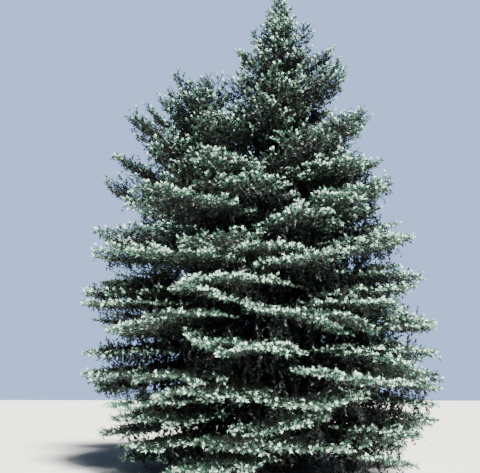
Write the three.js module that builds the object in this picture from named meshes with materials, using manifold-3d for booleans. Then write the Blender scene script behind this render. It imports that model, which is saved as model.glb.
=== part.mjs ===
// Blue spruce, a whole tree of about ten metres, rooted in the ground: a main stem with root flare, a
// second stem that forks off to the left, bare lower boughs, and whorls of foliage masses, each a flat
// dense shelf with toothed sprays of needles standing out of it. Millimetres, +Z up, +Y away from the
// viewer, and the origin in the middle of the flat cut at ground level.
import * as THREE from "three";
import { mergeVertices } from "three/addons/utils/BufferGeometryUtils.js";
import Module from "manifold-3d";

const wasm = await Module();
wasm.setup();

// Driving dimensions
const mainStem = {
  base: 0, // flat cut at ground level
  top: 8900, // the wood ends here and the leader shoots go on
  tip: 10150, // the highest shoot
  lean: 130, // sideways shift from the ground to the tip
  radius: 168,
  tipRadius: 17,
  taper: 0.92, // 1 would be a straight cone
  flare: 0.42, // extra radius at the ground, as a share
  flareHeight: 260,
  lobes: 5, // root lobes round the flare
  lobeDepth: 0.35,
  sides: 14,
  steps: 14,
  crowding: 1.6, // how much closer the rings stand at the root flare
};
const secondStem = {
  base: 2700, // it leaves the main stem here
  upright: 5200, // and stands upright from here
  top: 7590,
  tip: 8460,
  outX: -1560,
  outY: 480,
  radius: 82,
  tipRadius: 14,
  taper: 0.9,
  sides: 9,
  steps: 9,
};
const mainCrown = {
  lowest: 520, // height where the lowest whorl leaves the stem
  spacing: 929, // from whorl to whorl
  boughs: [5, 5, 5, 5, 4, 4, 3, 3, 3],
  twigs: [8, 8, 8, 8, 7, 7, 7, 6, 6], // side twigs on each mass
  firstTurn: [30, 0, 40, 36, 8, 0, 0, 0, 40], // azimuth of the first bough, degrees
  besideSecond: [5, 6, 7], // whorls that leave room for the second stem's crown
  reach: 3080, // of the widest boughs, on the right
  widest: 1700, // height of the widest boughs
  ends: 9700, // height where the reach comes to nothing
  fullness: 1.55,
  skirtPull: 0.3, // how fast the reach falls below the widest boughs
  leftSwell: 300, // extra reach on the left at the ground
  leftSwellRise: 0.2, // and with height
};
const secondCrown = {
  lowest: 5150,
  spacing: 880,
  boughs: [3, 3, 3],
  twigs: [7, 6, 6],
  reaches: [2230, 1600, 820],
  rises: [0.42, 1, 1.35],
  stemRadii: [16, 12.5, 9],
  sag: 0.38,
  lift: 0.3,
  bare: 0.22,
  width: 0.5,
  faces: 172, // the azimuth that the middle bough of a whorl faces, degrees
  backShare: 0.72, // reach towards the main stem, as a share of the reach away from it
};
// How a bough of the main crown grows, in the lowest whorl and at the top, as shares of its reach
const habit = {
  rise: [0.06, 0.9], // slope where it leaves the stem
  riseLate: 2.2, // the slope grows mostly near the top
  sag: [0.22, 0.38],
  sagSoon: 0.36,
  lift: [0.08, 0.38], // the tip's upturn
  bare: [0.42, 0.12], // inner part without foliage
  width: 0.9, // of a fan, divided by the root of the whorl's number of boughs
  stemRadius: [27, 15],
};
const uneven = { turn: 0.14, reach: [0.94, 1.04], height: 110, sway: 0.07 }; // from bough to bough
const bareBoughWhorls = 2; // the lowest whorls have bare boughs of their own
const bareBough = { radius: 40, endRadius: 25, sides: 6, steps: 2 };
const roomForSecond = 275; // degrees that a whorl covers beside the second crown
const divide = { from: 4850, near: 690, rise: 0.11, gap: 90 }; // the upright wall between the two crowns
const spraySize = { halfWidth: 0.36, thickness: 0.07, pole: 0.35 }; // as shares of a blade's length
// Core, the dense middle of a mass, in shares of the bough's reach
const core = {
  start: 0.06, // past the end of the bare part
  end: 0.88,
  halfWidth: 0.21,
  halfHeight: 0.08,
  swell: [0.12, 0.93], // the stretch of a half wave that its plan follows
  swellEarly: 0.85,
  ripple: 0.16, // of its edge
  ripples: 23,
  rippleTurn: 2.2, // how far the waves on its two sides are out of step
  smallest: 12, // radius that it's never drawn in below, mm
  drawIn: 0.88,
  sides: 7,
  steps: 3,
};
const massStem = { past: 0.16, endRadius: 8, sides: 5, steps: 2 }; // past the bare part, inside the core
// Side twigs of a mass, from its inner end to its tip: lengths in fan widths, angles in degrees
const sideTwig = {
  last: 0.9, // where on the bough the outermost one stands
  place: [0.2, 0.8], // within its own stretch of the bough
  leave: [64, 44], // angle to the bough
  leaveSpread: 10,
  length: [1.06, 0.44],
  lengthSpread: [0.88, 1.12],
  tilt: 0.55, // they rise and hang by turns
  tiltSpread: 0.2,
  rollSpread: 110,
  follow: 0.7, // how much of its bough's own height it takes on
  root: 0.7, // where its blade starts, as a share of the way out through the core
  lastRoot: 0.6, // and at most this share of its own length
  shorter: [1, 0.85, 0.7, 0.55], // lengths tried until it keeps to the mass's space
};
const tipSpray = { from: 0.74, rollSpread: 30 }; // the spray at a bough's end
const leader = { share: 0.97, radius: 13, endRadius: 4, sides: 3, steps: 2, sprayFrom: 0.55 };
// Twigs round a leader
const topTwig = { sunk: 14, rollSpread: 50, reachSpread: [0.9, 1.1], turnSpread: 0.3, climb: 0.02 };
const lineStep = 0.01; // for the direction of a limb's own line
const weld = 0.01; // corners nearer than this are one
const nearlyUpright = 0.95;
const touchGap = 0.3;
const layerGap = 70; // free height between two whorls' masses
const sectorGap = 36; // free width beside each mass
const overreach = 1.06; // how far past its whorl's reach a mass may go, as a share
const groundGap = 60;
const seeds = { masses: 20417, mainWhorls: 31013, secondWhorls: 47501, step: 104729 };

const degree = Math.PI / 180;
const up = new THREE.Vector3(0, 0, 1);
const depthAxis = new THREE.Vector3(0, 1, 0);
const vector = (x, y, z) => new THREE.Vector3(x, y, z);
const lerp = THREE.MathUtils.lerp;
const clamp = THREE.MathUtils.clamp;

// A seeded row of numbers from 0 to 1, the same on every run
function seeded(seed) {
  let state = seed >>> 0;
  return () => {
    state = (Math.imul(state, 1664525) + 1013904223) >>> 0;
    return state / 4294967296;
  };
}

// Centre lines of the two stems, by height
function mainCentre(z) {
  return vector(mainStem.lean * (z / mainStem.tip) ** 2, 0, z);
}

function secondCentre(z) {
  const t = clamp((z - secondStem.base) / (secondStem.upright - secondStem.base), 0, 1);
  const out = Math.sin((t * Math.PI) / 2);
  const start = mainCentre(secondStem.base);
  return vector(start.x + secondStem.outX * out, secondStem.outY * out, z);
}

// Closed tapering limb: centre(s) and radius(s, angle, at), with s from 0 at its foot to 1 at its tip,
// and at(r) the point that lies r out
function limb(centre, radius, sides, steps, side = up, pointed = false) {
  const shape = new THREE.CylinderGeometry(pointed ? 0 : 1, 1, 1, sides, steps);
  const spot = shape.attributes.position;
  for (let i = 0; i < spot.count; i++) {
    const s = spot.getY(i) + 0.5;
    const out = Math.hypot(spot.getX(i), spot.getZ(i));
    const angle = Math.atan2(spot.getX(i), spot.getZ(i));
    const ahead = centre(Math.min(1, s + lineStep));
    const along = ahead.sub(centre(Math.max(0, s - lineStep))).normalize();
    const across = along.clone().cross(side).normalize();
    const third = across.clone().cross(along);
    const at = (r) => centre(s)
      .addScaledVector(across, r * Math.sin(angle))
      .addScaledVector(third, r * Math.cos(angle));
    const p = at(out > 1e-6 ? radius(s, angle, at) : 0);
    spot.setXYZ(i, p.x, p.y, p.z);
  }
  return shape;
}

// Rim of a blade of unit length and unit half width, forward on one side and back on the other: a bare
// foot, two toothed sprays and the tip
const toothedSide = [
  [0.2, 0.13],
  [0.52, 1],
  [0.46, 0.28],
  [0.8, 0.68],
];
const bladeRim = [
  [0, 0],
  ...toothedSide.map(([x, y]) => [x, -y]),
  [1, 0],
  ...toothedSide.toReversed().map(([x, y]) => [x, y]),
];

// The blade's corners in place: a low double cone whose rim is drawn out to the toothed outline
function bladePoints(root, along, side, length, halfWidth) {
  return bladeRim.map(([x, y]) =>
    root.clone().addScaledVector(along, x * length).addScaledVector(side, y * halfWidth),
  );
}

function blade(root, along, side, length, halfWidth, thickness) {
  const rim = bladePoints(root, along, side, length, halfWidth);
  const face = along.clone().cross(side).normalize();
  const pole = root.clone().addScaledVector(along, length * spraySize.pole);
  const shape = new THREE.SphereGeometry(1, rim.length, 2);
  const spot = shape.attributes.position;
  for (let i = 0; i < spot.count; i++) {
    const height = spot.getY(i);
    const turn = Math.atan2(spot.getZ(i), -spot.getX(i)) / (2 * Math.PI);
    const corner = rim[(Math.round(turn * rim.length) + rim.length) % rim.length];
    const p = Math.abs(height) > 0.5
      ? pole.clone().addScaledVector(face, Math.sign(height) * thickness / 2)
      : corner;
    spot.setXYZ(i, p.x, p.y, p.z);
  }
  return shape;
}

function solidOf(shape) {
  shape.deleteAttribute("normal");
  shape.deleteAttribute("uv");
  const merged = mergeVertices(shape, weld);
  return new wasm.Manifold(
    new wasm.Mesh({
      numProp: 3,
      vertProperties: merged.attributes.position.array,
      triVerts: new Uint32Array(merged.index.array),
    }),
  );
}

// One body: fuses the pieces, drops loose scraps and fills sealed hollows
function fuse(solids, cutters = []) {
  let whole = solids.reduce((a, b) => a.add(b));
  for (const cutter of cutters) whole = whole.subtract(cutter);
  return whole.decompose().reduce((a, b) => (a.volume() > b.volume() ? a : b));
}

function meshOf(solid, name, material) {
  const made = solid.getMesh();
  const shape = new THREE.BufferGeometry()
    .setAttribute("position", new THREE.BufferAttribute(new Float32Array(made.vertProperties), 3))
    .setIndex(new THREE.BufferAttribute(new Uint32Array(made.triVerts), 1));
  shape.computeVertexNormals();
  const mesh = new THREE.Mesh(shape, material);
  mesh.name = name;
  return mesh;
}

// The two stems, at their own size and grown by a gap that cuts what touches them clear
function mainStemSolid(grown = 0) {
  const { base, top, radius, tipRadius, flare, flareHeight, sides, steps } = mainStem;
  const heightAt = (s) => base + (top - base) * s ** mainStem.crowding;
  const centre = (s) => mainCentre(heightAt(s));
  const radiusAt = (s, angle) => {
    const z = heightAt(s);
    const lobes = 1 + mainStem.lobeDepth * Math.cos(mainStem.lobes * angle);
    const plain = lerp(radius, tipRadius, (z / top) ** mainStem.taper);
    return plain * (1 + flare * lobes * Math.exp(-z / flareHeight)) + grown;
  };
  return solidOf(limb(centre, radiusAt, sides, steps, depthAxis));
}

function secondStemSolid(grown = 0) {
  const { base, top, radius, tipRadius, sides, steps } = secondStem;
  const centre = (s) => secondCentre(lerp(base, top, s));
  const radiusAt = (s) => lerp(radius, tipRadius, s ** secondStem.taper) + grown;
  return solidOf(limb(centre, radiusAt, sides, steps, depthAxis));
}

// Reach of the main crown, by the height where the bough leaves the stem and its azimuth
function mainReach(z, azimuth, swells) {
  const { reach, widest, ends, fullness, skirtPull, leftSwell, leftSwellRise } = mainCrown;
  const above = clamp((z - widest) / (ends - widest), 0, 1);
  const below = Math.max(0, widest - z);
  const swell = swells ? leftSwell + leftSwellRise * z : 0;
  return reach * (1 - above ** fullness) - skirtPull * below
    + swell * Math.max(0, Math.cos(azimuth - Math.PI));
}

// Whorls of both crowns: where each stands, how its boughs rise, sag and lift again, and where they point
function mainWhorls() {
  const last = mainCrown.boughs.length - 1;
  return mainCrown.boughs.map((count, k) => {
    const t = k / last;
    const z = mainCrown.lowest + mainCrown.spacing * k;
    const beside = mainCrown.besideSecond.includes(k);
    const span = beside ? roomForSecond : 360;
    const away = Math.atan2(-secondStem.outY, -secondStem.outX) / degree;
    const first = beside ? away - span / 2 + span / (2 * count) : mainCrown.firstTurn[k];
    return {
      name: `whorl${k + 1}`, z, count, span, first, twigs: mainCrown.twigs[k],
      seed: seeds.mainWhorls + k * seeds.step,
      centre: mainCentre(z),
      rise: lerp(...habit.rise, t ** habit.riseLate),
      sag: Math.min(habit.sag[1], habit.sag[0] + habit.sagSoon * t),
      lift: lerp(...habit.lift, t),
      bare: lerp(...habit.bare, t),
      width: habit.width / Math.sqrt(count),
      stemRadius: lerp(...habit.stemRadius, t),
      reach: (azimuth) => mainReach(z, azimuth, !beside && k < last),
      bareBoughs: k < bareBoughWhorls,
      onMain: true,
    };
  });
}

function secondWhorls() {
  const { lowest, spacing, boughs, twigs, reaches, rises, stemRadii, faces, backShare } = secondCrown;
  const { sag, lift, bare, width } = secondCrown;
  return boughs.map((count, k) => {
    const z = lowest + spacing * k;
    return {
      name: `left_whorl${k + 1}`, z, count, span: roomForSecond, twigs: twigs[k],
      seed: seeds.secondWhorls + k * seeds.step,
      first: faces - roomForSecond / 2 + roomForSecond / (2 * count),
      centre: secondCentre(z),
      rise: rises[k], sag, lift, bare, width, stemRadius: stemRadii[k],
      reach: (azimuth) => {
        const outward = 0.5 + 0.5 * Math.cos(azimuth - faces * degree);
        return reaches[k] * lerp(backShare, 1, outward);
      },
      bareBoughs: false,
      onMain: false,
    };
  });
}

// Height of a whorl's layer over a point that lies r out at an azimuth
function layerHeight(whorl, r, azimuth) {
  const reach = whorl.reach(azimuth);
  const s = r / reach;
  return whorl.z + reach * (whorl.rise * s - whorl.sag * s * s + whorl.lift * s ** 3);
}

// Each bough of a whorl with its own azimuth, reach and height, and the azimuths where its neighbours begin
function boughsOf(whorl) {
  const random = seeded(whorl.seed);
  const step = whorl.span / whorl.count;
  const made = [];
  for (let j = 0; j < whorl.count; j++) {
    const azimuth = (whorl.first + step * (j + (random() - 0.5) * uneven.turn)) * degree;
    const reach = whorl.reach(azimuth) * lerp(...uneven.reach, random());
    const offset = (random() - 0.5) * uneven.height;
    made.push({ azimuth, reach, offset, sway: (random() - 0.5) * uneven.sway });
  }
  const full = whorl.span === 360;
  made.forEach((bough, j) => {
    const before = made[j - 1] ?? (full ? made[whorl.count - 1] : null);
    const after = made[j + 1] ?? (full ? made[0] : null);
    const half = (step / 2) * degree;
    const back = before ? positive(bough.azimuth - before.azimuth) / 2 : half;
    const on = after ? positive(after.azimuth - bough.azimuth) / 2 : half;
    Object.assign(bough, { whorl, back, on });
  });
  return made;
}

function positive(angle) {
  return ((angle % (2 * Math.PI)) + 2 * Math.PI) % (2 * Math.PI);
}

// Point on a bough's own line, s from 0 at the stem's middle to 1 at its tip
function boughPoint(bough, s) {
  const { whorl, azimuth, reach, offset, sway } = bough;
  const r = s * reach;
  const turned = azimuth + sway * Math.sin(Math.PI * s);
  return vector(
    whorl.centre.x + r * Math.cos(turned),
    whorl.centre.y + r * Math.sin(turned),
    layerHeight({ ...whorl, reach: () => reach }, r, turned) + offset * s,
  );
}

// Whether a point lies in the space that a mass keeps to
function inSpace(bough, p, layers) {
  const { whorl, azimuth, back, on } = bough;
  const x = p.x - whorl.centre.x;
  const y = p.y - whorl.centre.y;
  const r = Math.hypot(x, y);
  const turned = Math.atan2(y, x);
  const aside = positive(turned - azimuth + Math.PI) - Math.PI;
  const room = aside < 0 ? back + aside : on - aside;
  if (room < 0 || (room < Math.PI / 2 && r * Math.sin(room) < sectorGap)) return false;
  if (r > whorl.reach(turned) * overreach || p.z < groundGap) return false;
  const own = layerHeight(whorl, r, turned);
  const index = layers.indexOf(whorl);
  const below = layers[index - 1];
  const above = layers[index + 1];
  if (below && p.z < (own + layerHeight(below, r, turned) + layerGap) / 2) return false;
  if (above && p.z > (own + layerHeight(above, r, turned) - layerGap) / 2) return false;
  return whorl.onMain ? beyondDivide(p) < -divide.gap / 2 : beyondDivide(p) > divide.gap / 2;
}

// How far a point lies on the second crown's side of the wall between the crowns
function beyondDivide(p) {
  if (p.z < divide.from) return -Infinity;
  const out = vector(secondStem.outX, secondStem.outY, 0).normalize();
  const middle = mainCentre(p.z);
  return (p.x - middle.x) * out.x + (p.y - middle.y) * out.y
    - divide.near - divide.rise * (p.z - secondCrown.lowest);
}

// A side twig with its sprays of needles: one toothed blade, its bare foot sunk in past the given point
function sprayTwig(foot, tip, roll, sunk = 0) {
  const along = tip.clone().sub(foot).normalize();
  const root = foot.clone().addScaledVector(along, -sunk);
  const length = root.distanceTo(tip);
  const reference = Math.abs(along.z) > nearlyUpright ? depthAxis : up;
  const level = reference.clone().cross(along).normalize();
  const side = level.applyAxisAngle(along, roll);
  const halfWidth = length * spraySize.halfWidth;
  const corners = bladePoints(root, along, side, length, halfWidth);
  return {
    rim: corners.flatMap((p, i) => [p, p.clone().lerp(corners[(i + 1) % corners.length], 0.5)]),
    solid: () => solidOf(blade(root, along, side, length, halfWidth, length * spraySize.thickness)),
  };
}

// Side twigs of a mass: where each leaves the bough's line, where it ends and how its spray is rolled
function sideTwigs(bough, random) {
  const { whorl, reach, azimuth } = bough;
  const made = [];
  for (let i = 0; i < whorl.twigs; i++) {
    const u = (i + lerp(...sideTwig.place, random())) / whorl.twigs;
    const hand = i % 2 ? 1 : -1;
    const leave = hand * (lerp(...sideTwig.leave, u) + sideTwig.leaveSpread * (random() - 0.5));
    const full = reach * whorl.width * lerp(...sideTwig.length, u);
    made.push({
      s: lerp(whorl.bare, sideTwig.last, u),
      leave: leave * degree,
      turned: azimuth + leave * degree,
      length: full * lerp(...sideTwig.lengthSpread, random()),
      tilt: (i % 3 - 1) * sideTwig.tilt + (random() - 0.5) * sideTwig.tiltSpread,
      roll: (random() - 0.5) * sideTwig.rollSpread * degree,
    });
  }
  return made;
}

// End of a side twig: it follows the whorl's layer, tilted a little up or down
function twigEnd(bough, foot, twig, share) {
  const { whorl } = bough;
  const end = foot.clone();
  end.x += twig.length * share * Math.cos(twig.turned);
  end.y += twig.length * share * Math.sin(twig.turned);
  const x = end.x - whorl.centre.x;
  const y = end.y - whorl.centre.y;
  const azimuth = Math.atan2(y, x);
  end.z = layerHeight(whorl, Math.hypot(x, y), azimuth) + bough.offset * sideTwig.follow
    + twig.length * share * twig.tilt;
  return end;
}

// Half width and half height of a mass's core, s along the bough
function coreSize(bough, s) {
  const from = bough.whorl.bare + core.start;
  const share = clamp((s - from) / (core.end - from), 0, 1);
  const swell = Math.sin(Math.PI * lerp(...core.swell, share) ** core.swellEarly);
  const across = bough.reach * core.halfWidth * swell;
  return { across, high: bough.reach * core.halfHeight * Math.sqrt(swell) };
}

// How far out a side twig comes through the core
function coreExit(bough, twig) {
  const { across, high } = coreSize(bough, twig.s);
  return 1 / Math.hypot(Math.sin(twig.leave) / across, twig.tilt / high);
}

// The core: a flat cushion along the bough, drawn in where it would leave the mass's space
function coreShape(bough, layers, random) {
  const phase = random() * 2 * Math.PI;
  const from = bough.whorl.bare + core.start;
  const radiusAt = (s, angle, at) => {
    const along = lerp(from, core.end, s);
    const { across, high } = coreSize(bough, along);
    const ellipse = 1 / Math.hypot(Math.sin(angle) / across, Math.cos(angle) / high);
    const turn = along * core.ripples + Math.sin(angle) * core.rippleTurn + phase;
    const wave = 1 + core.ripple * Math.sin(turn);
    let r = ellipse * wave;
    while (r > core.smallest && !inSpace(bough, at(r), layers)) r *= core.drawIn;
    return r;
  };
  return limb((s) => boughPoint(bough, lerp(from, core.end, s)), radiusAt, core.sides, core.steps);
}

// A foliage mass: its stem, its core, the spray at its tip and its side twigs, fused to one body
function massSolid(bough, layers, random, limbs, cutters) {
  const { whorl, reach } = bough;
  const start = whorl.bareBoughs ? whorl.bare : 0;
  const foot = start + (start > 0 ? touchGap / reach : 0);
  const startRadius = whorl.bareBoughs ? bareBough.endRadius : whorl.stemRadius;
  const stem = limb(
    (s) => boughPoint(bough, lerp(foot, whorl.bare + massStem.past, s)),
    (s) => lerp(startRadius, massStem.endRadius, s),
    massStem.sides, massStem.steps, up, true,
  );
  const solids = [solidOf(stem), solidOf(coreShape(bough, layers, random))];
  const tipRoll = (random() - 0.5) * tipSpray.rollSpread * degree;
  solids.push(sprayTwig(boughPoint(bough, tipSpray.from), boughPoint(bough, 1), tipRoll).solid());
  for (const twig of sideTwigs(bough, random)) {
    const from = boughPoint(bough, twig.s);
    const sunk = sideTwig.root * coreExit(bough, twig);
    for (const share of sideTwig.shorter) {
      const end = twigEnd(bough, from, twig, share);
      const root = Math.min(sideTwig.lastRoot, sunk / (twig.length * share));
      const spray = sprayTwig(from.clone().lerp(end, root), end, twig.roll);
      if (!spray.rim.every((p) => inSpace(bough, p, layers))) continue;
      const solid = spray.solid();
      if (limbs.some((other) => solid.intersect(other).volume() > 0)) continue;
      solids.push(solid);
      break;
    }
  }
  return fuse(solids, cutters);
}

// The bare inner part of a low bough
function bareBoughSolid(bough, cutters) {
  const shape = limb(
    (s) => boughPoint(bough, s * bough.whorl.bare),
    (s) => lerp(bareBough.radius, bareBough.endRadius, s),
    bareBough.sides, bareBough.steps,
  );
  return fuse([solidOf(shape)], cutters);
}

// The mass at the top of a stem: the leader, with rings of rising twigs round it
function topMassSolid(centreAt, from, to, rings, random) {
  const line = (s) => centreAt(lerp(from + touchGap, to, s));
  const shoot = limb(
    (s) => line(s * leader.share),
    (s) => lerp(leader.radius, leader.endRadius, s),
    leader.sides, leader.steps, depthAxis, true,
  );
  const solids = [solidOf(shoot)];
  for (const roll of [0, 90]) {
    solids.push(sprayTwig(line(leader.sprayFrom), line(1), roll * degree).solid());
  }
  rings.forEach(({ at, count, length, slope }, k) => {
    for (let j = 0; j < count; j++) {
      const turn = j + 0.5 * (k % 2) + topTwig.turnSpread * (random() - 0.5);
      const azimuth = (turn / count) * 2 * Math.PI;
      const foot = line(at + topTwig.climb * (j / count));
      const reach = length * lerp(...topTwig.reachSpread, random());
      const tip = foot.clone().add(vector(Math.cos(azimuth), Math.sin(azimuth), slope).setLength(reach));
      const roll = (random() - 0.5) * topTwig.rollSpread * degree;
      solids.push(sprayTwig(foot, tip, roll, topTwig.sunk).solid());
    }
  });
  return fuse(solids);
}

const bark = new THREE.MeshStandardMaterial({ color: 0x5b4a3e, roughness: 0.95, metalness: 0 });
const twigBark = new THREE.MeshStandardMaterial({ color: 0x6a5444, roughness: 0.9, metalness: 0 });
const needles = new THREE.MeshStandardMaterial({ color: 0x66806f, roughness: 0.75, metalness: 0 });

const topRings = [
  { at: 0.03, count: 5, length: 720, slope: 1.3 },
  { at: 0.34, count: 4, length: 470, slope: 1.4 },
  { at: 0.6, count: 3, length: 290, slope: 1.5 },
];
const secondTopRings = [
  { at: 0.05, count: 4, length: 520, slope: 1.3 },
  { at: 0.42, count: 4, length: 330, slope: 1.4 },
];

function buildTree() {
  const group = new THREE.Group();
  const random = seeded(seeds.masses);
  const mainSolid = mainStemSolid();
  const mainGrown = mainStemSolid(touchGap);
  const secondSolid = fuse([secondStemSolid()], [mainGrown]);
  const secondGrown = secondStemSolid(touchGap);
  group.add(meshOf(mainSolid, "trunk", bark));
  group.add(meshOf(secondSolid, "second_stem", bark));
  for (const layers of [mainWhorls(), secondWhorls()]) {
    for (const whorl of layers) {
      const grown = whorl.onMain ? mainGrown : secondGrown;
      boughsOf(whorl).forEach((bough, j) => {
        const name = `${whorl.name}_${j + 1}`;
        if (whorl.bareBoughs) group.add(meshOf(bareBoughSolid(bough, [grown]), `bough_${name}`, twigBark));
        const mass = massSolid(bough, layers, random, [mainGrown, secondGrown], [grown]);
        group.add(meshOf(mass, `foliage_${name}`, needles));
      });
    }
  }
  group.add(meshOf(
    topMassSolid(mainCentre, mainStem.top, mainStem.tip, topRings, random), "foliage_top", needles));
  group.add(meshOf(
    topMassSolid(secondCentre, secondStem.top, secondStem.tip, secondTopRings, random),
    "foliage_left_top", needles));
  return group;
}

export default buildTree();
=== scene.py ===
import math

import bmesh
import bpy
import numpy as np
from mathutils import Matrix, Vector, noise


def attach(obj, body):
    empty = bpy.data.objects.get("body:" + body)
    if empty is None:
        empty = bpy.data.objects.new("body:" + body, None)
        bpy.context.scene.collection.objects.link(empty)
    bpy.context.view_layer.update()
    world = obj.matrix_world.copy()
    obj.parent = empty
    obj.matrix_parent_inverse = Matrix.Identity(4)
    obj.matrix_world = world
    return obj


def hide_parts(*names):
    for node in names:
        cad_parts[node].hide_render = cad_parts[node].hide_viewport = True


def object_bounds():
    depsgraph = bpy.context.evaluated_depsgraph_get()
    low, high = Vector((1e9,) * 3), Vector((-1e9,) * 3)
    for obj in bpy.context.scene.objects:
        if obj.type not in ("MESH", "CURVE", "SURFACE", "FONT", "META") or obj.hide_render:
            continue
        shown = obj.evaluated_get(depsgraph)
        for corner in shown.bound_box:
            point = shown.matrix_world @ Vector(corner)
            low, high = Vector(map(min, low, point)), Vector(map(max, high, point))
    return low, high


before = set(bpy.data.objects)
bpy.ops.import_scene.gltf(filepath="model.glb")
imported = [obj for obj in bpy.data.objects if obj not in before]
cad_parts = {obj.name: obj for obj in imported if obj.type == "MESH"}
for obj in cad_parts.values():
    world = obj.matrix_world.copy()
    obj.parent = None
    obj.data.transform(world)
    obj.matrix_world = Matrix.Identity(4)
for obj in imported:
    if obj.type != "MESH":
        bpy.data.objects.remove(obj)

cadBox = [list(corner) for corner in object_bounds()]

# The rule that the solids grow by, in metres
mainStem = dict(top=8.9, tip=10.15, lean=0.13, radius=0.168, tipRadius=0.017, taper=0.92,
                flare=0.42, flareHeight=0.26, lobes=5, lobeDepth=0.35)
secondStem = dict(base=2.7, upright=5.2, top=7.59, tip=8.46, outX=-1.56, outY=0.48,
                  radius=0.082, tipRadius=0.014, taper=0.9)
mainCrown = dict(lowest=0.52, spacing=0.929, boughs=[5, 5, 5, 5, 4, 4, 3, 3, 3],
                 firstTurn=[30, 0, 40, 36, 8, 0, 0, 0, 40], besideSecond=[5, 6, 7],
                 reach=3.08, widest=1.7, ends=9.7, fullness=1.55, skirtPull=0.3,
                 leftSwell=0.3, leftSwellRise=0.2, swellEnds=4.4, partsFrom=[6.2, 7], partsBy=0.3)
habit = dict(rise=[0.06, 0.9], riseLate=2.2, sag=[0.22, 0.38], sagSoon=0.36, lift=[0.08, 0.38],
             bare=[0.42, 0.12], bareBough=[0.040, 0.025])
secondCrown = dict(lowest=5.15, spacing=0.88, boughs=3, extraBoughs=[2, 2, 1], reaches=[2.23, 1.6, 0.82],
                   rises=[0.42, 1, 1.35], sag=0.38, lift=0.3, bare=0.22, faces=172, backShare=0.72)
uneven = dict(turn=0.14, reach=[0.94, 1.04], height=0.11, sway=0.07)
seeds = dict(mainWhorls=31013, secondWhorls=47501, step=104729, fineGrowth=8021)
roomForSecond = 275
bareBoughWhorls = 2


def mix(pair, t):
    return pair[0] + (pair[1] - pair[0]) * t


def seeded(seed):
    # the same row of numbers from 0 to 1 as in the part's source
    state = seed % 2 ** 32
    while True:
        state = (state * 1664525 + 1013904223) % 2 ** 32
        yield state / 2 ** 32


def mainCentre(z):
    return np.array([mainStem["lean"] * (z / mainStem["tip"]) ** 2, 0.0, z])


def secondCentre(z):
    t = min(1, max(0, (z - secondStem["base"]) / (secondStem["upright"] - secondStem["base"])))
    out = math.sin(t * math.pi / 2)
    start = mainCentre(secondStem["base"])
    return np.array([start[0] + secondStem["outX"] * out, secondStem["outY"] * out, z])


def mainReach(z, azimuth, swells):
    c = mainCrown
    above = min(1, max(0, (z - c["widest"]) / (c["ends"] - c["widest"])))
    below = max(0, c["widest"] - z)
    swell = c["leftSwell"] + c["leftSwellRise"] * z if swells else 0
    return c["reach"] * (1 - above ** c["fullness"]) - c["skirtPull"] * below \
        + swell * np.maximum(0, np.cos(azimuth - math.pi))


def givesWay(k):
    # the whorls between the source's stay short on the fork's side high up, where the crowns part
    return float(np.interp(k, mainCrown["partsFrom"], [0, mainCrown["partsBy"]])) if k != int(k) else 0


def mainWhorl(k):
    # k counts whorls from 0, and the ones between the source's whorls have a broken number
    last = len(mainCrown["boughs"]) - 1
    t = k / last
    z = mainCrown["lowest"] + mainCrown["spacing"] * k
    near = min(last, int(k + 0.5))
    count = mainCrown["boughs"][near] + (k != int(k))
    beside = k in mainCrown["besideSecond"]
    span = roomForSecond if beside else 360
    away = math.degrees(math.atan2(-secondStem["outY"], -secondStem["outX"]))
    first = away - span / 2 + span / (2 * count) if beside else mainCrown["firstTurn"][near]
    return dict(k=k, z=z, count=count, span=span, first=first, centre=mainCentre(z), onMain=True,
                rise=mix(habit["rise"], t ** habit["riseLate"]),
                sag=min(habit["sag"][1], habit["sag"][0] + habit["sagSoon"] * t),
                lift=mix(habit["lift"], t), bare=mix(habit["bare"], t), bareBoughs=k < bareBoughWhorls,
                seed=seeds["mainWhorls"] + int(round(k * seeds["step"])),
                reach=lambda azimuth: mainReach(z, azimuth, k < mainCrown["swellEnds"])
                * (1 - givesWay(k) * np.maximum(0, -np.cos(azimuth - math.radians(away)))))


def secondWhorl(k):
    c = secondCrown
    z = c["lowest"] + c["spacing"] * k
    steps = range(len(c["reaches"]))
    extra = 0 if k in steps else c["extraBoughs"][int(k + 0.5)]
    count, span = c["boughs"] + extra, 360 if extra else roomForSecond
    return dict(k=k, z=z, count=count, span=span, centre=secondCentre(z), onMain=False,
                first=c["faces"] - span / 2 + span / (2 * count),
                rise=float(np.interp(k, steps, c["rises"])), sag=c["sag"], lift=c["lift"], bare=c["bare"],
                bareBoughs=False, seed=seeds["secondWhorls"] + int(round(k * seeds["step"])),
                reach=lambda azimuth: float(np.interp(k, steps, c["reaches"]))
                * mix([c["backShare"], 1], 0.5 + 0.5 * np.cos(azimuth - math.radians(c["faces"]))))


def layerHeight(whorl, r, azimuth, reach=None):
    full = whorl["reach"](azimuth) if reach is None else reach
    s = r / full
    return whorl["z"] + full * (whorl["rise"] * s - whorl["sag"] * s * s + whorl["lift"] * s ** 3)


def boughsOf(whorl, turn=0.0):
    draw = seeded(whorl["seed"])
    step = whorl["span"] / whorl["count"]
    made = []
    for j in range(whorl["count"]):
        shuffle = (next(draw) - 0.5) * uneven["turn"]
        azimuth = math.radians(whorl["first"] + turn * step + step * (j + shuffle))
        reach = float(whorl["reach"](azimuth)) * mix(uneven["reach"], next(draw))
        offset = (next(draw) - 0.5) * uneven["height"]
        made.append(dict(whorl=whorl, azimuth=azimuth, reach=reach, offset=offset,
                         sway=(next(draw) - 0.5) * uneven["sway"]))
    return made


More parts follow.
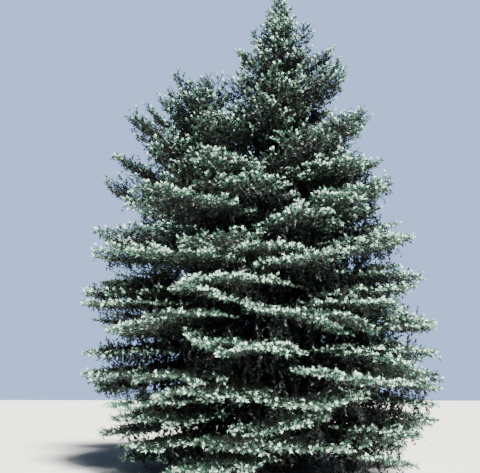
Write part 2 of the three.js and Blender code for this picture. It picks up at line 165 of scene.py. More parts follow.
def boughPoint(bough, s):
    # point or points on a bough's own line, s from 0 at the stem's middle to 1 at its tip
    whorl = bough["whorl"]
    s = np.asarray(s, float)
    r = s * bough["reach"]
    turned = bough["azimuth"] + bough["sway"] * np.sin(math.pi * s)
    z = layerHeight(whorl, r, turned, bough["reach"]) + bough["offset"] * s
    return np.stack([whorl["centre"][0] + r * np.cos(turned), whorl["centre"][1] + r * np.sin(turned), z], -1)


# Camera at the photograph's place: eye level, tilted up, the trunk right of the middle
view = dict(distance=13.7, height=1.6, tilt=12.2, turn=3.2, focalPixels=686, imageWidth=480, sensor=36)
cameraData = bpy.data.cameras.new("camera")
camera = bpy.data.objects.new("camera", cameraData)
bpy.context.scene.collection.objects.link(camera)
cameraData.sensor_width = view["sensor"]
cameraData.lens = view["focalPixels"] / view["imageWidth"] * view["sensor"]
camera.location = (0, -view["distance"], view["height"])
camera.rotation_euler = (math.radians(90 + view["tilt"]), 0, math.radians(view["turn"]))
bpy.context.scene.camera = camera


# Materials
def linear(hexColour):
    parts = [int(hexColour[i:i + 2], 16) / 255 for i in (0, 2, 4)]
    return tuple(p / 12.92 if p <= 0.04045 else ((p + 0.055) / 1.055) ** 2.4 for p in parts) + (1.0,)


def addNode(tree, kind, settings=None, links=None):
    node = tree.nodes.new(kind)
    for name, value in (settings or {}).items():
        if name in node.inputs:
            node.inputs[name].default_value = value
        else:
            setattr(node, name, value)
    for name, source in (links or {}).items():
        tree.links.new(source, node.inputs[name])
    return node


def plainMaterial(name, hexColour, roughness):
    material = bpy.data.materials.new(name)
    material.use_nodes = True
    shader = material.node_tree.nodes["Principled BSDF"]
    shader.inputs["Base Color"].default_value = linear(hexColour)
    shader.inputs["Roughness"].default_value = roughness
    return material


# Waxy spruce needles: the wax bloom makes the young outer sprays pale blue-grey, the old inner ones go green.
# The palest tint is also a painted highlight. The darker ones, most of all the near-black old green, are also
# painted shade for the inside of the crown
needleTints = dict(
    paleWaxyNeedlesPaintedHighlight="c9e8d2",
    blueGreenNeedles="456c56",
    greyGreenNeedles="183a29",
    oldGreenNeedlesPaintedShade="081510",
    dryBrownNeedles="241c15",
)
needleMaterials = [plainMaterial(name, colour, roughness=0.5) for name, colour in needleTints.items()]

barkLook = dict(roughness=0.9, stretch=0.55, gap=[0.02, 0.16], mottleScale=0.4, mottleDetail=6.0, wear=0.45,
                bump=0.5, bumpDepth=0.006)


def barkMaterial(name, plate, furrow, plateSize):
    # grown spruce bark: thin grey-brown plates with darker gaps, dull all over
    look = barkLook
    material = bpy.data.materials.new(name)
    material.use_nodes = True
    tree = material.node_tree
    shader = tree.nodes["Principled BSDF"]
    shader.inputs["Roughness"].default_value = look["roughness"]
    coordinates = addNode(tree, "ShaderNodeTexCoord")
    mapping = addNode(tree, "ShaderNodeMapping", {"Scale": (1, 1, look["stretch"])},
                      {"Vector": coordinates.outputs["Object"]})
    plates = addNode(tree, "ShaderNodeTexVoronoi", {"feature": "DISTANCE_TO_EDGE", "Scale": 1 / plateSize},
                     {"Vector": mapping.outputs["Vector"]})
    gaps = addNode(tree, "ShaderNodeValToRGB", None, {"Fac": plates.outputs["Distance"]})
    for element, position in zip(gaps.color_ramp.elements, look["gap"]):
        element.position = position
    mottle = addNode(tree, "ShaderNodeTexNoise",
                     {"Scale": look["mottleScale"] / plateSize, "Detail": look["mottleDetail"]},
                     {"Vector": coordinates.outputs["Object"]})
    shade = addNode(tree, "ShaderNodeMix", {"data_type": "RGBA"}, {"Factor": gaps.outputs["Color"]})
    shade.inputs["A"].default_value = linear(furrow)
    shade.inputs["B"].default_value = linear(plate)
    worn = addNode(tree, "ShaderNodeMix", {"data_type": "RGBA", "blend_type": "MULTIPLY"})
    worn.inputs["Factor"].default_value = look["wear"]
    tree.links.new(shade.outputs["Result"], worn.inputs["A"])
    tree.links.new(mottle.outputs["Fac"], worn.inputs["B"])
    tree.links.new(worn.outputs["Result"], shader.inputs["Base Color"])
    bump = addNode(tree, "ShaderNodeBump", {"Strength": look["bump"], "Distance": look["bumpDepth"]},
                   {"Height": gaps.outputs["Color"]})
    tree.links.new(bump.outputs["Normal"], shader.inputs["Normal"])
    return material


scalyBark = barkMaterial("scalySpruceBark", plate="84715f", furrow="3b3029", plateSize=0.03)
boughBark = barkMaterial("thinSpruceBark", plate="7d6650", furrow="42342a", plateSize=0.014)
# Thin bark of the twigs, painted dark brown as painted shade, since the twigs are lost in the shade of the
# needles
twigBarkPaintedShade = plainMaterial("twigBarkPaintedShade", "33281e", roughness=0.85)
print("materials made")


# Wood: a limb is drawn ring by ring from one circle, then its bark is raised by noise
relief = dict(lookAlong=0.004, steep=0.7, plateLength=0.6, gapSteepness=3, plateLevel=0.6,
              swellSize=4, swellDepth=1.2, evenedEnd=1 / 12)


def barkedLimb(name, centreAt, radiusAt, settings, material, covers):
    steps, sides = settings["steps"], settings["sides"]
    bm = bmesh.new()
    made = bmesh.ops.create_circle(bm, cap_ends=True, segments=sides, radius=1.0)
    ring = [v for v in made["verts"]]
    cap = bm.faces[:][0]
    rings = [ring]
    for i in range(steps):
        grown = bmesh.ops.extrude_face_region(bm, geom=[cap, *cap.edges], use_keep_orig=i == 0)
        cap = [g for g in grown["geom"] if isinstance(g, bmesh.types.BMFace)][0]
        rings.append([loop.vert for loop in cap.loops])
        bmesh.ops.translate(bm, verts=rings[-1], vec=(0, 0, 1))
    for i, ringVerts in enumerate(rings):
        s = (i / steps) ** settings.get("crowding", 1)
        middle = Vector(centreAt(s))
        ahead, behind = min(1, s + relief["lookAlong"]), max(0, s - relief["lookAlong"])
        along = (Vector(centreAt(ahead)) - Vector(centreAt(behind))).normalized()
        across = along.cross(Vector((0, 1, 0) if abs(along.y) < relief["steep"] else (0, 0, 1))).normalized()
        third = across.cross(along)
        for v in ringVerts:
            angle = math.atan2(v.co.y, v.co.x)
            r = radiusAt(s, angle)
            out = across * math.sin(angle) + third * math.cos(angle)
            p = middle + out * r
            q = Vector((p.x, p.y, p.z * relief["plateLength"]))
            furrow = noise.voronoi(q / settings["plate"])[0]
            plate = min(1, (furrow[1] - furrow[0]) * relief["gapSteepness"]) - relief["plateLevel"]
            swell = noise.noise(p / (settings["plate"] * relief["swellSize"]))
            edge = min(1, min(s, 1 - s) / relief["evenedEnd"]) if settings.get("flatEnds") else 1
            v.co = p + out * edge * settings["depth"] * (plate + relief["swellDepth"] * swell)
    bmesh.ops.recalc_face_normals(bm, faces=bm.faces)  # it leaves some thin bent limbs inside out
    if bm.calc_volume(signed=True) < 0:
        bmesh.ops.reverse_faces(bm, faces=bm.faces)
    mesh = bpy.data.meshes.new(name)
    bm.to_mesh(mesh)
    bm.free()
    for polygon in mesh.polygons:
        polygon.use_smooth = True
    mesh.materials.append(material)
    piece = bpy.data.objects.new(name, mesh)
    bpy.context.scene.collection.objects.link(piece)
    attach(piece, "root")
    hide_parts(*covers)
    return piece


trunkBark = dict(sides=64, steps=300, crowding=1.25, plate=0.035, depth=0.0055, flatEnds=True)
secondBark = dict(sides=36, steps=170, plate=0.028, depth=0.003)
boughRelief = dict(sides=18, steps=40, plate=0.018, depth=0.0015, startsAt=0.1)


def trunkRadius(s, angle):
    z = s * mainStem["top"]
    lobes = 1 + mainStem["lobeDepth"] * math.cos(mainStem["lobes"] * angle)
    plain = mix([mainStem["radius"], mainStem["tipRadius"]], (z / mainStem["top"]) ** mainStem["taper"])
    return plain * (1 + mainStem["flare"] * lobes * math.exp(-z / mainStem["flareHeight"]))


def secondRadius(s, angle):
    return mix([secondStem["radius"], secondStem["tipRadius"]], s ** secondStem["taper"])


def secondLine(s):
    return secondCentre(mix([secondStem["base"], secondStem["top"]], s))


trunk = barkedLimb("trunk_bark", lambda s: mainCentre(s * mainStem["top"]), trunkRadius, trunkBark, scalyBark,
                   ["trunk"])
second = barkedLimb("second_stem_bark", secondLine, secondRadius, secondBark, scalyBark, ["second_stem"])
for k in range(bareBoughWhorls):
    for j, bough in enumerate(boughsOf(mainWhorl(k))):
        bareShare = bough["whorl"]["bare"]
        foot = boughRelief["startsAt"] / bough["reach"]
        limb = barkedLimb(
            f"bough_bark_{k + 1}_{j + 1}",
            lambda s, b=bough, a=foot, e=bareShare: boughPoint(b, mix([a, e], s)),
            lambda s, angle: mix(habit["bareBough"], s), boughRelief, boughBark,
            [f"bough_whorl{k + 1}_{j + 1}"])
print("wood made")

# Fine growth: laterals leave a bough on both sides and end on the rim of a flat rounded fan, side twigs leave
# the laterals, and all of them carry needles. Angles in degrees, lengths in metres or in shares of the reach.
frondHabit = dict(
    # the bough's own wood and the shoots along its outer part
    lineFrom=0.02, lineEnd=0.97, lineSteps=11, overlap=0.05, fullReach=3, taper=0.8,
    shootsFrom=0.5, shootsPastBare=0.2, shootSteps=8, shootTone=0.55,
    # the fan's rounded rim, its half width given for the short and the long boughs
    # shadedBy darkens the tints of a shaded fan: painted shade
    shadedFrom=0.62, shadedBy=0.1,
    fanFoot=-0.1, fanEnd=1.02, fanReaches=[1.2, 2.8], fanHalfWidth=[0.38, 0.3],
    lateralEvery=0.2, leastLaterals=4, lateralAngle=[62, 34], angleSpread=3, stagger=0.15, shuffle=0.2,
    lateralSpread=[0.84, 1.05], pastRim=0.06, lateralSteps=3, lateralTaper=0.7, footTone=0.7,
    overreach=1.02, pulls=6, pullIn=0.9,
    # side twigs, and the stubs that stand below and above the rim
    twigEvery=0.15, twigAngle=46, twigAngleSpread=6, twigShare=0.24, twigLeast=0.09, twigStagger=0.25,
    twigShuffle=0.15, twigsEnd=0.98, twigSpread=[0.75, 1.25],
    stub=[0.085, 0.075], stubSlopes=[-0.55, 0.75], stubTurn=45, stubFrom=0.85, stubGain=0.5, stubStagger=0.3,
    # painted shade on the underside: twigs bent downwards take darker tints
    underShade=0.35,
    # how the fan lies
    roof=0.03, shortest=0.3, tipLift=0.03, liftEnd=1.05, liftPower=4,
    sideTilt=0.12, tilt=0.025, twigTilt=0.09, heightSpread=0.42, ground=0.05,
)
# levels run from the rim's young shoots to the old inner ones, and also from painted highlight on the rim to
# painted shade inside
shootHabit = dict(
    length=0.085, levels=[0.96, 0.82, 0.64], fullness=[14.5, 11, 5.6, 3.1], grown=[1, 1, 1.25, 1.85],
    needleLength=0.036, needleBase=0.019, lengthSpread=[0.8, 1.15], placeSpread=[0.1, 0.9],
    lean=60, leanSpread=8, upturn=0.12, leastNeedles=3,
    paleFrom=0.5, tipTone=0.1, shadeSpread=0.12, dryBelow=0.4, dryShare=0.06,
    beyondBox=0.06, clearOfGround=0.004,
)
innerHabit = dict(
    foot=0.06, end=0.93, crowdedOut=0.85, areaReaches=[1, 2.8], perArea=[98, 28],
    oval=[0.6, 0.62], within=0.9, stemClear=0.1,
    lengthReaches=[0.6, 2.8], length=[0.17, 0.36], lengthSpread=[0.6, 1.3], slant=0.42, upShare=0.35,
    freeFrom=5, shortensFrom=[0.65, 0.45], shortensTo=0.4,
    toneLess=0.5, toneMost=0.42, needles=3.4, grown=[2.8, 2.2], grownEnd=0.5,
)
woodSize = dict(bough=0.016, lateral=0.007, twig=0.0032)
growth = np.random.default_rng(seeds["fineGrowth"])


def newStore(dense, grown, shade):
    return dict(starts=[], ends=[], tints=[], counts=[], scales=[], woodStarts=[], woodEnds=[], woodRadii=[],
                dense=dense, grown=grown, shade=shade)


def addWood(store, starts, ends, radii):
    store["woodStarts"].append(starts)
    store["woodEnds"].append(ends)
    store["woodRadii"].append(radii)


def addShoots(store, starts, ends, outward, inner=False):
    # outward runs from 0 by the stem to 1 at the rim: paler and fuller sprays outside, old green ones inside.
    # The pale outside is partly painted highlight and the dark inside partly painted shade
    h = shootHabit
    low, high = np.array(cadBox[0]) - h["beyondBox"], np.array(cadBox[1]) + h["beyondBox"]
    keep = np.all((ends > low) & (ends < high), axis=1)
    starts, ends, outward = starts[keep], ends[keep], outward[keep]
    count = len(starts)
    # painted shade: the store's shade, set by the tier and by shaded fans, moves sprays to darker tints
    value = outward - store["shade"] + growth.normal(0, h["shadeSpread"], count)
    level = np.select([value > limit for limit in h["levels"]], [0, 1, 2], 3)
    dry = (outward < h["dryBelow"]) & (growth.random(count) < h["dryShare"])
    store["starts"].append(starts)
    store["ends"].append(ends)
    store["tints"].append(np.where(dry, 4, level))
    if inner:
        store["counts"].append(np.full(count, innerHabit["needles"]))
        store["scales"].append(mix(innerHabit["grown"], np.clip(outward / innerHabit["grownEnd"], 0, 1)))
    else:
        store["counts"].append(np.array(h["fullness"])[level] * store["dense"])
        store["scales"].append(np.array(h["grown"])[level] * store["grown"])


def chain(store, starts, ends, outwards, radius, inner=False):
    # needle-bearing twigs cut into shoots of about one year's growth, and their wood
    lengths = np.linalg.norm(ends - starts, axis=1)
    pieces = np.maximum(1, np.round(lengths / shootHabit["length"])).astype(int)
    for count in np.unique(pieces):
        chosen = pieces == count
        a, b, outward = starts[chosen], ends[chosen], outwards[chosen]
        for i in range(count):
            p = a + (b - a) * (i / count)
            q = a + (b - a) * ((i + 1) / count)
            addShoots(store, p, q, outward + shootHabit["tipTone"] * ((i + 1) / count), inner)
    if radius > 0:
        addWood(store, starts, ends, np.full(len(starts), radius))


def fanLength(bough, s, angle):
    # how far a lateral that leaves at s runs before it meets the fan's rounded rim
    h = frondHabit
    low = bough["whorl"]["bare"] + h["fanFoot"]
    middle, half = (low + h["fanEnd"]) / 2, (h["fanEnd"] - low) / 2
    across = float(np.interp(bough["reach"], h["fanReaches"], h["fanHalfWidth"]))
    c, n = np.cos(angle), np.sin(angle)
    a = (c / half) ** 2 + (n / across) ** 2
    b = c * (s - middle) / half ** 2
    d = ((s - middle) / half) ** 2 - 1
    return (-b + np.sqrt(np.maximum(0, b * b - a * d))) / a * bough["reach"]


def growFrond(store, bough, shaded=False):
    # a shaded fan is an extra one that shows only near the rim, in the gap between two others, and its
    # needles are darkened by shadedBy as painted shade
    h = frondHabit
    whorl, reach, azimuth = bough["whorl"], bough["reach"], bough["azimuth"]
    bare = whorl["bare"]
    first = h["shadedFrom"] if shaded else bare
    store["shade"] += h["shadedBy"] if shaded else 0
    line = boughPoint(bough, np.linspace(bare if whorl["bareBoughs"] else h["lineFrom"], h["lineEnd"],
                                         h["lineSteps"] + 1))
    thinning = 1 - h["taper"] * np.linspace(0, 1, h["lineSteps"])
    addWood(store, line[:-1], line[1:] + (line[1:] - line[:-1]) * h["overlap"],
            woodSize["bough"] * (reach / h["fullReach"]) * thinning)
    start = max(bare + h["shootsPastBare"], h["shootsFrom"])
    outer = boughPoint(bough, np.linspace(start, 1.0, h["shootSteps"] + 1))
    chain(store, outer[:-1], outer[1:], np.linspace(h["shootTone"], 1.0, h["shootSteps"]), 0)
    count = max(h["leastLaterals"], int(reach * (h["lineEnd"] - first) / h["lateralEvery"]))
    for hand in (-1, 1):
        shuffle = growth.uniform(-h["shuffle"], h["shuffle"], count)
        u = (np.arange(count) + 0.5 + h["stagger"] * hand + shuffle) / count
        s = first + (h["lineEnd"] - first) * np.clip(u, 0, 1)
        turn = np.radians(mix(h["lateralAngle"], u) + growth.normal(0, h["angleSpread"], count))
        length = fanLength(bough, s, turn) * growth.uniform(*h["lateralSpread"], count) + h["pastRim"]
        angle = azimuth + hand * turn
        heading = np.stack([np.cos(angle), np.sin(angle)], -1)
        foot = boughPoint(bough, s)
        for _ in range(h["pulls"]):
            end = foot[:, :2] + heading * length[:, None] - whorl["centre"][:2]
            far = np.hypot(end[:, 0], end[:, 1]) / whorl["reach"](np.arctan2(end[:, 1], end[:, 0]))
            length = np.where(far > h["overreach"], length * h["pullIn"], length)
        growLaterals(store, bough, foot, heading, length, s)
    if shaded:
        store["shade"] -= h["shadedBy"]
    else:
        growInside(store, bough)


def growInside(store, bough):
    # the shaded inner part: old dark twigs that hang below the fan or stand on it and shut out the light;
    # their needles are held to the darkest tints, partly as painted shade
    h = innerHabit
    whorl, reach = bough["whorl"], bough["reach"]
    across = frondHabit["fanHalfWidth"][1] * reach
    perArea = np.interp(reach, h["areaReaches"], h["perArea"])
    count = int(perArea * (h["end"] - h["foot"]) * reach * 2 * across)
    s = mix([h["foot"], h["end"]], growth.random(count) ** h["crowdedOut"])
    middle, half = h["oval"]
    oval = np.sqrt(np.clip(1 - ((s - middle) / half) ** 2, 0, 1))
    side = growth.uniform(-1, 1, count) * across * oval * h["within"]
    a = bough["azimuth"]
    x, y = s * reach * np.cos(a) - side * np.sin(a), s * reach * np.sin(a) + side * np.cos(a)
    r = np.hypot(x, y)
    keep = r > h["stemClear"]
    x, y, r, count = x[keep], y[keep], r[keep], int(keep.sum())
    z = layerHeight(whorl, r, np.arctan2(y, x)) + bough["offset"] * np.clip(r / reach, 0, 1)
    foot = np.stack([x + whorl["centre"][0], y + whorl["centre"][1], np.maximum(z, frondHabit["ground"])], -1)
    way = growth.normal(0, h["slant"], (count, 3))
    way[:, 2] = np.where(growth.random(count) < h["upShare"], 1, -1)
    long = np.interp(reach, h["lengthReaches"], h["length"]) * growth.uniform(*h["lengthSpread"], count)
    standsFree = not whorl["onMain"] or whorl["k"] >= h["freeFrom"]
    long *= np.interp(r / reach, [h["shortensFrom"][standsFree], h["end"]], [1, h["shortensTo"]])
    end = foot + way * long[:, None]
    end[:, 2] = np.maximum(end[:, 2], frondHabit["ground"])
    # toneMost keeps these needles in the darkest tints: partly old needles, partly painted shade
    chain(store, foot, end, np.clip(r / reach - h["toneLess"], 0, h["toneMost"]), woodSize["twig"], True)


def fanHeight(bough, points, distance, length, tilt):
    # height of the fan at points a distance out along laterals: it falls away to both sides like a low roof
    h = frondHabit
    whorl = bough["whorl"]
    x, y = points[..., 0] - whorl["centre"][0], points[..., 1] - whorl["centre"][1]
    r = np.hypot(x, y)
    z = layerHeight(whorl, r, np.arctan2(y, x)) + bough["offset"] * np.clip(r / bough["reach"], 0, 1)
    out = distance / np.maximum(h["shortest"], length)
    lift = h["tipLift"] * np.clip(r / bough["reach"], 0, h["liftEnd"]) ** h["liftPower"]
    return z + distance * (tilt - h["roof"] * out) + lift


def growLaterals(store, bough, foot, heading, length, s):
    h = frondHabit
    steps = h["lateralSteps"]
    tilt = growth.normal(0, h["sideTilt"]) + growth.normal(0, h["tilt"], len(foot))
    base = foot[:, 2] - fanHeight(bough, foot, np.zeros(len(foot)), length, tilt)
    points = []
    for i in range(steps + 1):
        share = i / steps
        p = np.empty_like(foot)
        p[:, :2] = foot[:, :2] + heading * (length * share)[:, None]
        height = fanHeight(bough, p, length * share, length, tilt) + base * (1 - share)
        p[:, 2] = np.maximum(height, h["ground"])
        points.append(p)
    outward = np.clip(s, 0, 1)
    for i in range(steps):
        chain(store, points[i], points[i + 1], mix([outward * h["footTone"], 1.0], (i + 0.5) / steps),
              woodSize["lateral"] * (1 - h["lateralTaper"] * i / steps))
    growTwigs(store, points, heading, length, outward)


def growTwigs(store, points, heading, length, outward):
    h = frondHabit
    steps = len(points) - 1
    stack = np.stack(points, 0)
    grown = {False: ([], [], []), True: ([], [], [])}
    small = h["stubStagger"]
    for i in range(int(np.max(length) / h["twigEvery"]) + 1):
        for hand, stands in ((-1, False), (1, False), (small, True), (-small, True)):
            shuffle = growth.uniform(-h["twigShuffle"], h["twigShuffle"], len(length))
            share = (i + 0.5 + h["twigStagger"] * hand + shuffle) * h["twigEvery"] / length
            chosen = (share < h["twigsEnd"]) & (not stands or outward + share * h["stubGain"] > h["stubFrom"])
            if not chosen.any():
                continue
            at = np.clip(share[chosen], 0, 0.999) * steps  # just short of the end: low + 1 is a point too
            low = at.astype(int)
            rows = np.flatnonzero(chosen)
            foot = stack[low, rows] + (stack[low + 1, rows] - stack[low, rows]) * (at - low)[:, None]
            along = stack[low + 1, rows] - stack[low, rows]
            along /= np.linalg.norm(along, axis=1)[:, None]
            turn = np.radians(growth.normal(0, h["stubTurn"], len(rows))) if stands else \
                hand * np.radians(h["twigAngle"] + growth.normal(0, h["twigAngleSpread"], len(rows)))
            head = heading[chosen]
            flat = np.stack([head[:, 0] * np.cos(turn) - head[:, 1] * np.sin(turn),
                             head[:, 0] * np.sin(turn) + head[:, 1] * np.cos(turn)], -1)
            long = h["twigShare"] * (1 - share[chosen]) * length[chosen] + h["twigLeast"]
            long = np.full(len(rows), h["stub"][hand > 0]) if stands else long
            long = long * growth.uniform(*h["twigSpread"], len(rows))
            bend = growth.normal(h["stubSlopes"][hand > 0] if stands else 0, h["twigTilt"], len(rows))
            slope = along[:, 2] + bend
            end = foot.copy()
            end[:, :2] += flat * long[:, None]
            end[:, 2] = np.maximum(end[:, 2] + slope * long, h["ground"])
            tone = mix([outward[chosen] * h["footTone"], 1.0], share[chosen])
            # painted shade: twigs bent downwards get darker tints by underShade
            value = tone + np.minimum(0, bend) * h["underShade"]
            for row, item in zip(grown[stands], (foot, end, value)):
                row.append(item)
    for stands, rows in grown.items():
        if rows[0]:
            chain(store, *(np.concatenate(row) for row in rows), 0 if stands else woodSize["twig"])


leaderHabit = dict(
    steps=8, wood=[0.013, 0.004], overlap=0.1, tones=dict(leader=0.88, spray=0.85, side=0.82),
    turnShuffle=0.15, lengthSpread=[0.88, 1.08],
    sprayStep=0.09, leastSteps=2, sprayWood=0.005, sideFrom=0.4, sideStagger=0.3, sideAhead=0.75, sideOut=0.7,
    sideShare=0.5, sideLeast=0.06,
)


def growLeader(store, centreAt, low, high, rings):
    # the top of a stem: the leader itself and rings of rising twigs with side twigs of their own
    h = leaderHabit
    line = np.array([centreAt(z) for z in np.linspace(low, high, h["steps"] + 1)])
    addWood(store, line[:-1], line[1:] + (line[1:] - line[:-1]) * h["overlap"],
            np.linspace(*h["wood"], h["steps"]))
    chain(store, line[:-1], line[1:], np.full(h["steps"], h["tones"]["leader"]), 0)
    for n, ring in enumerate(rings):
        for j in range(ring["count"]):
            shuffle = growth.uniform(-h["turnShuffle"], h["turnShuffle"])
            azimuth = 2 * math.pi * (j + 0.5 * (n % 2) + shuffle) / ring["count"]
            foot = np.array(centreAt(low + (high - low) * ring["at"]))
            out = np.array([math.cos(azimuth), math.sin(azimuth), ring["slope"]])
            out /= np.linalg.norm(out)
            growSpray(store, foot, out, ring["length"] * growth.uniform(*h["lengthSpread"]))


def growSpray(store, foot, out, length):
    # one straight twig with side twigs in a flat fan, all with needles
    h = leaderHabit
    steps = max(h["leastSteps"], int(length / h["sprayStep"]))
    side = np.cross(out, (0, 0, 1.0))
    side /= max(1e-6, np.linalg.norm(side))
    line = foot + out * np.linspace(0, length, steps + 1)[:, None]
    chain(store, line[:-1], line[1:], np.full(steps, h["tones"]["spray"]), 0)
    addWood(store, line[:1], line[-1:], np.array([h["sprayWood"]]))
    for hand in (-1, 1):
        share = (np.arange(steps) + h["sideFrom"] + h["sideStagger"] * (hand > 0)) / steps
        feet = foot + out * (share * length)[:, None]
        heading = out * h["sideAhead"] + side * hand * h["sideOut"]
        long = (1 - share) * length * h["sideShare"] + h["sideLeast"]
        tone = np.full(steps, h["tones"]["side"])
        chain(store, feet, feet + heading * long[:, None], tone, woodSize["twig"])


# Needles: each a narrow triangle that leans forward from its shoot, all round it in a spiral
spiral = dict(turn=2.39996, fullTurn=6.283)  # radians


def acrossOf(axis):
    # two directions at right angles to each row of axis and to each other
    helper = np.where(np.abs(axis[:, 2:3]) > 0.9, np.array([[1.0, 0, 0]]), np.array([[0, 0, 1.0]]))
    u = np.cross(helper, axis)
    u /= np.linalg.norm(u, axis=1)[:, None]
    return u, np.cross(axis, u)


def needleMesh(name, store, covers):
    h = shootHabit
    starts, ends = np.concatenate(store["starts"]), np.concatenate(store["ends"])
    tints, scales = np.concatenate(store["tints"]), np.concatenate(store["scales"])
    axis = ends - starts
    length = np.maximum(1e-4, np.linalg.norm(axis, axis=1))
    axis /= length[:, None]
    counts = np.concatenate(store["counts"])
    each = np.maximum(h["leastNeedles"], np.round(counts * length / h["length"])).astype(int)
    which = np.repeat(np.arange(len(each)), each)
    order = np.arange(len(which)) - np.repeat(np.cumsum(each) - each, each)
    along = (order + growth.uniform(*h["placeSpread"], len(which))) / each[which]
    around = order * spiral["turn"] + growth.uniform(0, spiral["fullTurn"], len(each))[which]
    a = axis[which]
    u, v = acrossOf(a)
    radial = u * np.cos(around)[:, None] + v * np.sin(around)[:, None]
    lean = np.radians(h["lean"] + growth.normal(0, h["leanSpread"], len(which)))
    out = a * np.cos(lean)[:, None] + radial * np.sin(lean)[:, None]
    out[:, 2] += h["upturn"]  # the needles turn up a little towards the light
    out /= np.linalg.norm(out, axis=1)[:, None]
    long = h["needleLength"] * growth.uniform(*h["lengthSpread"], len(which)) * scales[which]
    wide = np.cross(a, out)
    wide /= np.linalg.norm(wide, axis=1)[:, None]
    foot = starts[which] + a * (along * length[which])[:, None]
    half = wide * (h["needleBase"] / 2 * scales[which])[:, None]
    points = np.stack([foot - half, foot + half, foot + out * long[:, None]], 1)
    normals = np.cross(points[:, 1] - points[:, 0], points[:, 2] - points[:, 0])
    flip = np.einsum("ij,ij->i", normals, radial) < 0  # all of them face out
    points[flip] = points[flip][:, [1, 0, 2]]
    points[:, :, 2] = np.maximum(points[:, :, 2], h["clearOfGround"])
    tint = tints[which]
    tint = np.where((along < h["paleFrom"]) & (tint < 3), tint + 1, tint)  # each shoot is darker at its foot
    return arrayMesh(name, points.reshape(-1, 3), np.arange(len(which) * 3).reshape(-1, 3),
                     needleMaterials, tint, covers)


def twigMesh(name, store):
    # each twig is a closed three-sided spike
    starts, ends = np.concatenate(store["woodStarts"]), np.concatenate(store["woodEnds"])
    radii = np.concatenate(store["woodRadii"])
    axis = ends - starts
    length = np.linalg.norm(axis, axis=1)
    keep = length > 1e-3
    starts, ends, radii, axis = starts[keep], ends[keep], radii[keep], axis[keep] / length[keep][:, None]
    u, v = acrossOf(axis)
    turns = np.array([0, 2, 4]) * math.pi / 3
    ring = [starts + (u * math.cos(t) + v * math.sin(t)) * radii[:, None] for t in turns]
    points = np.stack(ring + [ends], 1)
    base = np.arange(len(starts))[:, None, None] * 4
    faces = np.array([[0, 1, 3], [1, 2, 3], [2, 0, 3], [0, 2, 1]])[None] + base
    return arrayMesh(name, points.reshape(-1, 3), faces.reshape(-1, 3), [twigBarkPaintedShade], None, [])


def arrayMesh(name, points, faces, materials, slots, covers):
    mesh = bpy.data.meshes.new(name)
    mesh.vertices.add(len(points))
    mesh.vertices.foreach_set("co", points.astype(np.float32).ravel())
    mesh.loops.add(len(faces) * 3)
    mesh.loops.foreach_set("vertex_index", faces.astype(np.int32).ravel())
    mesh.polygons.add(len(faces))
    mesh.polygons.foreach_set("loop_start", np.arange(len(faces), dtype=np.int32) * 3)
    for material in materials:
        mesh.materials.append(material)
    if slots is not None:
        mesh.polygons.foreach_set("material_index", slots.astype(np.int32))
    mesh.update(calc_edges=True)
    piece = bpy.data.objects.new(name, mesh)
    bpy.context.scene.collection.objects.link(piece)
    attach(piece, "root")
    if covers:
        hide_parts(*covers)
    print(f"{name}: {len(faces)} triangles")
    return piece


# Tiers: the whorls that each joined piece takes in, how dense and large its needles are and how much painted
# shade darkens its needle tints
tiers = [
    dict(name="skirt", main=[0], dense=0.67, grown=1.15, shade=0.02),
    dict(name="low", main=[1], dense=0.67, grown=1.15, shade=0.02),
    dict(name="lower", main=[2], dense=0.68, grown=1.15, shade=0.02),
    dict(name="middle", main=[3], dense=0.74, grown=1.13, shade=0.01),
    dict(name="broad", main=[4], dense=0.84, grown=1.1, shade=0.04),
    dict(name="upper", main=[5, 6], dense=1.05, grown=1, shade=0.09),
    dict(name="crown", main=[7, 8], top=True, dense=1.45, grown=1.03, shade=0.01),
    dict(name="left", second=[0, 1, 2], dense=1.1, grown=1, shade=0.08),
]


def leaderRings(*rings):
    # rings of twigs on a leader: place in shares of its height, number of twigs, their length and their slope
    return [dict(zip(("at", "count", "length", "slope"), ring)) for ring in rings]


topRings = leaderRings((-0.3, 5, 0.4, 0.8), (-0.14, 5, 0.5, 1.1), (0.03, 5, 0.66, 1.4), (0.18, 4, 0.5, 1.4),
                       (0.34, 4, 0.47, 1.4), (0.47, 3, 0.3, 1.5), (0.6, 4, 0.29, 1.5), (0.75, 3, 0.18, 1.6))
secondTopRings = leaderRings((0.05, 4, 0.52, 1.3), (0.22, 4, 0.36, 1.4), (0.42, 4, 0.33, 1.4),
                             (0.62, 3, 0.22, 1.5))

# What grows from one of the source's whorls up to the next: each whorl of fans by its place, its turn and
# whether it is a shaded one. One row for each of the source's whorls.
fewSteps = [(0, 0, False), (1 / 3, 0.02, False), (2 / 3, 0.5, False)]
manySteps = [(0, 0, False), (0.31, 0.02, False), (0.5, 0.3, True), (0.7, 0.55, False)]
forkSteps = manySteps + [(0.87, 0.25, False)]
mainSteps = [manySteps] * 4 + [forkSteps] + [fewSteps] * 3 + [fewSteps[:2]]
secondSteps = [fewSteps] * 2 + [fewSteps[:2]]

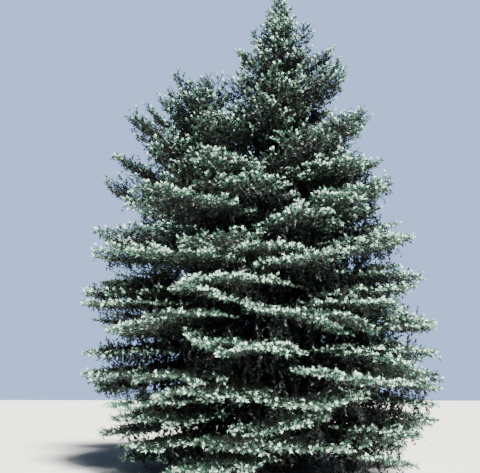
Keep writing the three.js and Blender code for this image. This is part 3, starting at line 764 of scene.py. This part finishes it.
for tier in tiers:
    store = newStore(tier["dense"], tier["grown"], tier["shade"])
    covers = []
    for k in tier.get("main", []):
        covers += [f"foliage_whorl{k + 1}_{j + 1}" for j in range(mainCrown["boughs"][k])]
        for step, turn, shaded in mainSteps[k]:
            for bough in boughsOf(mainWhorl(k + step), turn):
                if step:
                    bough["offset"] += growth.uniform(-0.5, 0.5) * frondHabit["heightSpread"]
                growFrond(store, bough, shaded)
    for k in tier.get("second", []):
        covers += [f"foliage_left_whorl{k + 1}_{j + 1}" for j in range(secondCrown["boughs"])]
        for step, turn, shaded in secondSteps[k]:
            for bough in boughsOf(secondWhorl(k + step), turn):
                growFrond(store, bough, shaded)
    if tier.get("top"):
        covers.append("foliage_top")
        growLeader(store, mainCentre, mainStem["top"], mainStem["tip"], topRings)
    if tier["name"] == "left":
        covers.append("foliage_left_top")
        growLeader(store, secondCentre, secondStem["top"], secondStem["tip"], secondTopRings)
    needleMesh(f"needles_{tier['name']}", store, covers)
    twigMesh(f"twigs_{tier['name']}", store)
print("foliage made")

# Plain pale floor, and a soft key light with a weak sky, which the camera sees brighter than it lights
floorHalf = 60
bm = bmesh.new()
bmesh.ops.create_grid(bm, x_segments=1, y_segments=1, size=floorHalf)
floorMesh = bpy.data.meshes.new("floor")
bm.to_mesh(floorMesh)
bm.free()
floor = bpy.data.objects.new("floor", floorMesh)
bpy.context.scene.collection.objects.link(floor)
floorMesh.materials.append(plainMaterial("paleFloor", "d8d6d0", roughness=0.9))

lightSetup = dict(sun=20, sunAngle=14, sunFrom=(40, 0, 30), sky=0.14, skyColour="aecdff", backdrop=1.3)
sunData = bpy.data.lights.new("key", "SUN")
sunData.energy = lightSetup["sun"]
sunData.angle = math.radians(lightSetup["sunAngle"])
sun = bpy.data.objects.new("key", sunData)
sun.rotation_euler = [math.radians(a) for a in lightSetup["sunFrom"]]
bpy.context.scene.collection.objects.link(sun)
world = bpy.data.worlds.new("softSky")
world.use_nodes = True
sky = world.node_tree
dim = sky.nodes["Background"]
dim.inputs["Color"].default_value = linear(lightSetup["skyColour"])
dim.inputs["Strength"].default_value = lightSetup["sky"]
bright = addNode(sky, "ShaderNodeBackground", {"Color": linear(lightSetup["skyColour"]),
                                               "Strength": lightSetup["backdrop"]})
seen = addNode(sky, "ShaderNodeLightPath")
both = addNode(sky, "ShaderNodeMixShader", None, {"Fac": seen.outputs["Is Camera Ray"]})
sky.links.new(dim.outputs["Background"], both.inputs[1])
sky.links.new(bright.outputs["Background"], both.inputs[2])
sky.links.new(both.outputs["Shader"], sky.nodes["World Output"].inputs["Surface"])
bpy.context.scene.world = world
print("stage made")
